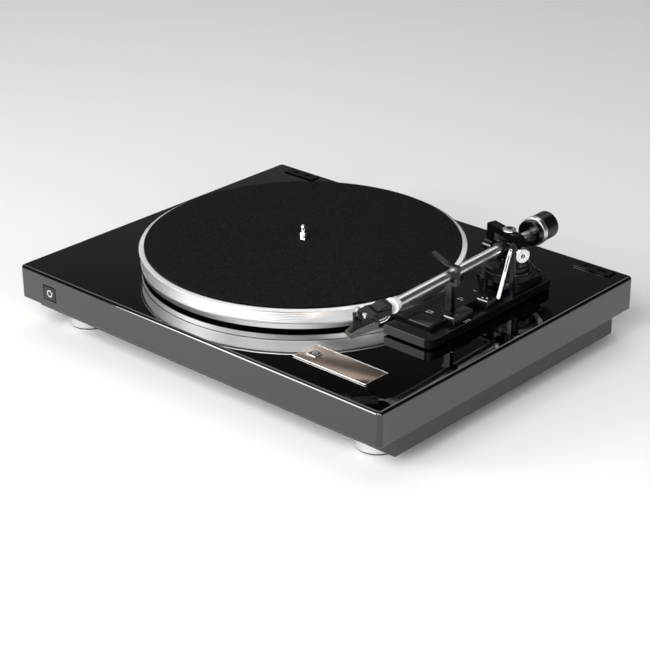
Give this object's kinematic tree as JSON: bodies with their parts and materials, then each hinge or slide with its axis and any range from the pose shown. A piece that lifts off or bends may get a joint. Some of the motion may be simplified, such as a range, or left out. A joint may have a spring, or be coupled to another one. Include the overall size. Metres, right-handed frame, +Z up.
{
  "type": "turntable",
  "caption": "Belt-driven record player: gloss black plinth, polished aluminium platter with felt mat, control housing and gimbal tone arm with counterweight",
  "frame": {"origin": "on the floor under the middle of the plinth", "axes": "+X right seen from the front, +Y to the rear, +Z up"},
  "size_m": [0.44, 0.3526, 0.1248],
  "materials": {
    "black_lacquer": "high gloss black lacquer",
    "grey_moulding": "grained dark grey moulding",
    "satin_black": "satin black moulding",
    "chrome": "polished plating",
    "turned_aluminium": "fine turned and polished",
    "satin_aluminium": "satin drawn tube",
    "bright_steel": "bright machined steel",
    "brass": "turned brass",
    "black_felt": "black felt with fine pale fibres",
    "rubber": "black rubber",
    "bronze_mirror": "bronze tinted mirror plate",
    "badge_silver": "silver badge",
    "smoky_clear": "smoky clear moulding",
    "circuit_green": "circuit laminate"
  },
  "bodies": {
    "plinth_body": {"front_badge": "badge_silver", "front_panel": "black_lacquer", "rear_panel": "black_lacquer", "left_panel": "black_lacquer", "right_panel": "black_lacquer", "top_panel": "black_lacquer", "base_tray": "grey_moulding", "bearing_housing": "bright_steel", "bearing_bush": "brass", "thrust_ball": "bright_steel", "motor_body": "bright_steel", "motor_bracket": "bright_steel", "drive_belt": "rubber", "control_housing": "satin_black", "rest_post": "satin_black", "arm_pedestal": "satin_black", "arm_tower": "satin_black", "hinge_plate_left": "chrome", "hinge_plate_right": "chrome", "name_plate": "bronze_mirror", "name_badge": "badge_silver", "output_sockets": "satin_black", "power_inlet": "satin_black", "ground_terminal": "brass", "circuit_board": "circuit_green", "foot_ring_front_left": "chrome", "foot_pad_front_left": "rubber", "foot_ring_front_right": "chrome", "foot_pad_front_right": "rubber", "foot_ring_rear_left": "chrome", "foot_pad_rear_left": "rubber", "foot_ring_rear_right": "chrome", "foot_pad_rear_right": "rubber"},
    "platter_body": {"platter": "turned_aluminium", "platter_mat": "black_felt", "subplatter": "satin_black", "spindle": "chrome"},
    "pulley_body": {"motor_pulley": "brass"},
    "yoke_body": {"gimbal_frame": "satin_black", "bearing_nut": "bright_steel"},
    "dial_body": {"force_dial": "bright_steel"},
    "arm_body": {"arm_block": "satin_black", "arm_tube": "satin_aluminium", "head_collar": "satin_aluminium", "rear_shaft": "chrome", "headshell": "satin_black", "cartridge_screw_left": "chrome", "cartridge_screw_right": "chrome", "cartridge": "satin_black", "stylus_assembly": "rubber"},
    "guard_body": {"stylus_guard": "smoky_clear"},
    "weight_body": {"counterweight": "satin_black"},
    "scale_body": {"scale_ring": "satin_aluminium"},
    "anti_skate_body": {"anti_skate_ring": "satin_black"},
    "key_body": {"start_stop_key": "satin_black"},
    "speed_body": {"speed_lever": "satin_black"},
    "size_body": {"size_lever": "satin_black"},
    "latch_body": {"rest_latch": "satin_black"},
    "lift_body": {"lift_platform": "rubber"},
    "cue_body": {"cue_lever": "chrome"}
  },
  "joints": [
    {"name": "platter_spin", "type": "hinge", "parent": "plinth_body", "child": "platter_body", "pos_m": [-0.026, 0.001, 0.08], "axis": [0, 0, 1], "continuous": true},
    {"name": "pulley_spin", "type": "hinge", "parent": "plinth_body", "child": "pulley_body", "pos_m": [-0.104, 0.079, 0.07], "axis": [0, 0, 1], "continuous": true},
    {"name": "arm_swing", "type": "hinge", "parent": "plinth_body", "child": "yoke_body", "pos_m": [0.1556, 0.0718, 0.1015], "axis": [0, 0, -1], "range_deg": [0, 48]},
    {"name": "arm_lift", "type": "hinge", "parent": "yoke_body", "child": "arm_body", "pos_m": [0.1556, 0.0718, 0.1015], "axis": [-0.9986, 0.0523, 0], "range_deg": [0, 2]},
    {"name": "force_dial_turn", "type": "hinge", "parent": "yoke_body", "child": "dial_body", "pos_m": [0.1745, 0.0675, 0.1037], "axis": [0.9063, -0.4226, 0], "range_deg": [0, 300]},
    {"name": "counterweight_slide", "type": "slide", "parent": "arm_body", "child": "weight_body", "axis": [-0.0349, 0.9994, 0], "range_m": [-0.004, 0.004]},
    {"name": "scale_ring_turn", "type": "hinge", "parent": "weight_body", "child": "scale_body", "pos_m": [0.15423, 0.11108, 0.1085], "axis": [-0.0349, 0.9994, 0], "continuous": true},
    {"name": "stylus_guard_slide", "type": "slide", "parent": "arm_body", "child": "guard_body", "axis": [-0.3584, -0.9336, 0], "range_m": [0, 0.014]},
    {"name": "anti_skate_turn", "type": "hinge", "parent": "plinth_body", "child": "anti_skate_body", "pos_m": [0.1556, 0.0718, 0.0837], "axis": [0, 0, 1], "range_deg": [0, 300]},
    {"name": "start_stop_press", "type": "slide", "parent": "plinth_body", "child": "key_body", "axis": [0, 0, -1], "range_m": [0, 0.002], "stiffness_N_per_m": 400, "springref_m": -0.001},
    {"name": "speed_select", "type": "slide", "parent": "plinth_body", "child": "speed_body", "axis": [0, 1, 0], "range_m": [0, 0.005]},
    {"name": "size_select", "type": "slide", "parent": "plinth_body", "child": "size_body", "axis": [0, -1, 0], "range_m": [0, 0.005]},
    {"name": "rest_latch_turn", "type": "hinge", "parent": "plinth_body", "child": "latch_body", "pos_m": [0.16625, -0.014, 0.111], "axis": [0, 1, 0], "range_deg": [0, 80]},
    {"name": "cue_lever_turn", "type": "hinge", "parent": "plinth_body", "child": "cue_body", "pos_m": [0.176, 0.047, 0.1159], "axis": [-0.9454, -0.326, 0], "range_deg": [0, 20]},
    {"name": "lift_rise", "type": "slide", "parent": "plinth_body", "child": "lift_body", "axis": [0, 0, 1], "range_m": [0, 0.005]}
  ],
  "couplings": [
    {"joint": "pulley_spin", "follows": "platter_spin", "ratio": 10},
    {"joint": "lift_rise", "follows": "cue_lever_turn", "m_per_rad": 0.014324}
  ]
}
